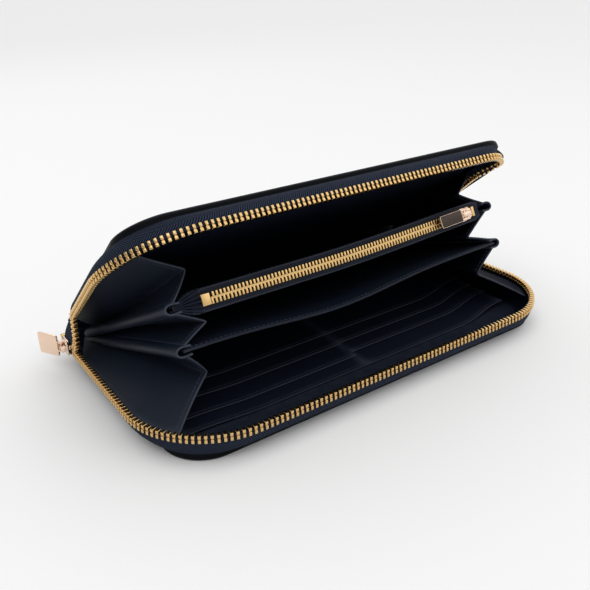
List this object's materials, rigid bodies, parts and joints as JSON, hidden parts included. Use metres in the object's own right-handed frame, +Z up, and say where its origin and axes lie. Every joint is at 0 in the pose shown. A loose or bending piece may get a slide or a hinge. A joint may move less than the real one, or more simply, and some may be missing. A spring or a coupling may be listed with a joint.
{
  "type": "zip around wallet",
  "caption": "Dark navy leather zip around wallet lying part open, with a zipped coin pocket, a plain divider, accordion gussets, stepped card slots and brass zips",
  "frame": {"origin": "middle of the lower cover's underside, on the surface the wallet lies on", "axes": "+X along the long side to the right, +Y towards the spine, +Z up, away from the surface"},
  "size_m": [0.216, 0.1154, 0.083],
  "materials": {
    "navy_leather": "smooth full grain, satin",
    "navy_lining": "smooth lining leather, matt",
    "zip_tape": "herringbone woven tape",
    "stiffener_board": "plain fibre board",
    "brass_teeth": "polished yellow brass",
    "rose_gold_metal": "polished pale rose gold plate"
  },
  "bodies": {
    "lower_cover": {"lower_cover_leather": "navy_leather", "lower_cover_board": "stiffener_board", "lower_cover_lining": "navy_lining", "card_slot_left_1": "navy_lining", "card_slot_left_2": "navy_lining", "card_slot_left_3": "navy_lining", "card_slot_left_4": "navy_lining", "card_slot_right_1": "navy_lining", "card_slot_right_2": "navy_lining", "card_slot_right_3": "navy_lining", "card_slot_right_4": "navy_lining", "lower_zip_tape": "zip_tape", "lower_zip_teeth": "brass_teeth", "zip_bottom_stop": "brass_teeth", "lower_zip_top_stop": "brass_teeth", "spine_leather": "navy_leather", "spine_lining": "navy_lining", "left_gusset_lower": "navy_leather", "right_gusset_lower": "navy_leather"},
    "plain_divider": {"plain_divider_lower_leather": "navy_leather", "plain_divider_upper_leather": "navy_leather", "left_gusset_middle": "navy_leather", "right_gusset_middle": "navy_leather"},
    "coin_pocket": {"coin_pocket_lower_wall": "navy_leather", "coin_pocket_upper_wall": "navy_leather", "coin_zip_lower_tape": "zip_tape", "coin_zip_upper_tape": "zip_tape", "coin_zip_chain": "brass_teeth", "coin_zip_bottom_stop": "brass_teeth", "coin_zip_top_stop": "brass_teeth", "left_gusset_upper": "navy_leather", "right_gusset_upper": "navy_leather"},
    "upper_cover": {"upper_cover_leather": "navy_leather", "upper_cover_board": "stiffener_board", "upper_cover_lining": "navy_lining", "upper_slip_pocket": "navy_lining", "upper_zip_tape": "zip_tape", "upper_zip_teeth": "brass_teeth", "upper_zip_top_stop": "brass_teeth"},
    "main_slider": {"main_slider": "rose_gold_metal"},
    "main_pull_tab": {"main_pull_tab": "rose_gold_metal"},
    "coin_slider": {"coin_slider": "rose_gold_metal"},
    "coin_pull_tab": {"coin_pull_tab": "rose_gold_metal"}
  },
  "joints": [
    {"name": "divider_hinge", "type": "hinge", "parent": "lower_cover", "child": "plain_divider", "pos_m": [0, 0.0513, 0.0113], "axis": [-1, 0, 0], "range_deg": [-19.2, 16], "deforming": ["spine_leather", "spine_lining", "left_gusset_lower", "right_gusset_lower"]},
    {"name": "coin_pocket_hinge", "type": "hinge", "parent": "plain_divider", "child": "coin_pocket", "pos_m": [0, 0.0513, 0.0113], "axis": [-1, 0, 0], "range_deg": [-6.7, 5.6], "deforming": ["left_gusset_middle", "right_gusset_middle"]},
    {"name": "cover_hinge", "type": "hinge", "parent": "coin_pocket", "child": "upper_cover", "pos_m": [0, 0.0513, 0.0113], "axis": [-1, 0, 0], "range_deg": [-12.9, 10.8], "deforming": ["left_gusset_upper", "right_gusset_upper"]},
    {"name": "main_slider_slide", "type": "slide", "parent": "lower_cover", "child": "main_slider", "axis": [0, -1, 0], "range_m": [0, 0.055], "deforming": ["lower_zip_teeth", "upper_zip_teeth"]},
    {"name": "main_tab_hinge", "type": "hinge", "parent": "main_slider", "child": "main_pull_tab", "pos_m": [-0.1055, 0.0428, 0.0119], "axis": [0, 0, 1], "range_deg": [-28, 148]},
    {"name": "coin_slider_slide", "type": "slide", "parent": "coin_pocket", "child": "coin_slider", "axis": [-1, 0, 0], "range_m": [0, 0.122], "deforming": ["coin_zip_chain"]},
    {"name": "coin_tab_hinge", "type": "hinge", "parent": "coin_slider", "child": "coin_pull_tab", "pos_m": [0.0668, -0.02496, 0.05091], "axis": [0, 0.436, 0.8999], "range_deg": [-2, 172]}
  ],
  "couplings": [
    {"joint": "coin_pocket_hinge", "follows": "divider_hinge", "ratio": 0.34635},
    {"joint": "cover_hinge", "follows": "divider_hinge", "ratio": 0.66927}
  ]
}
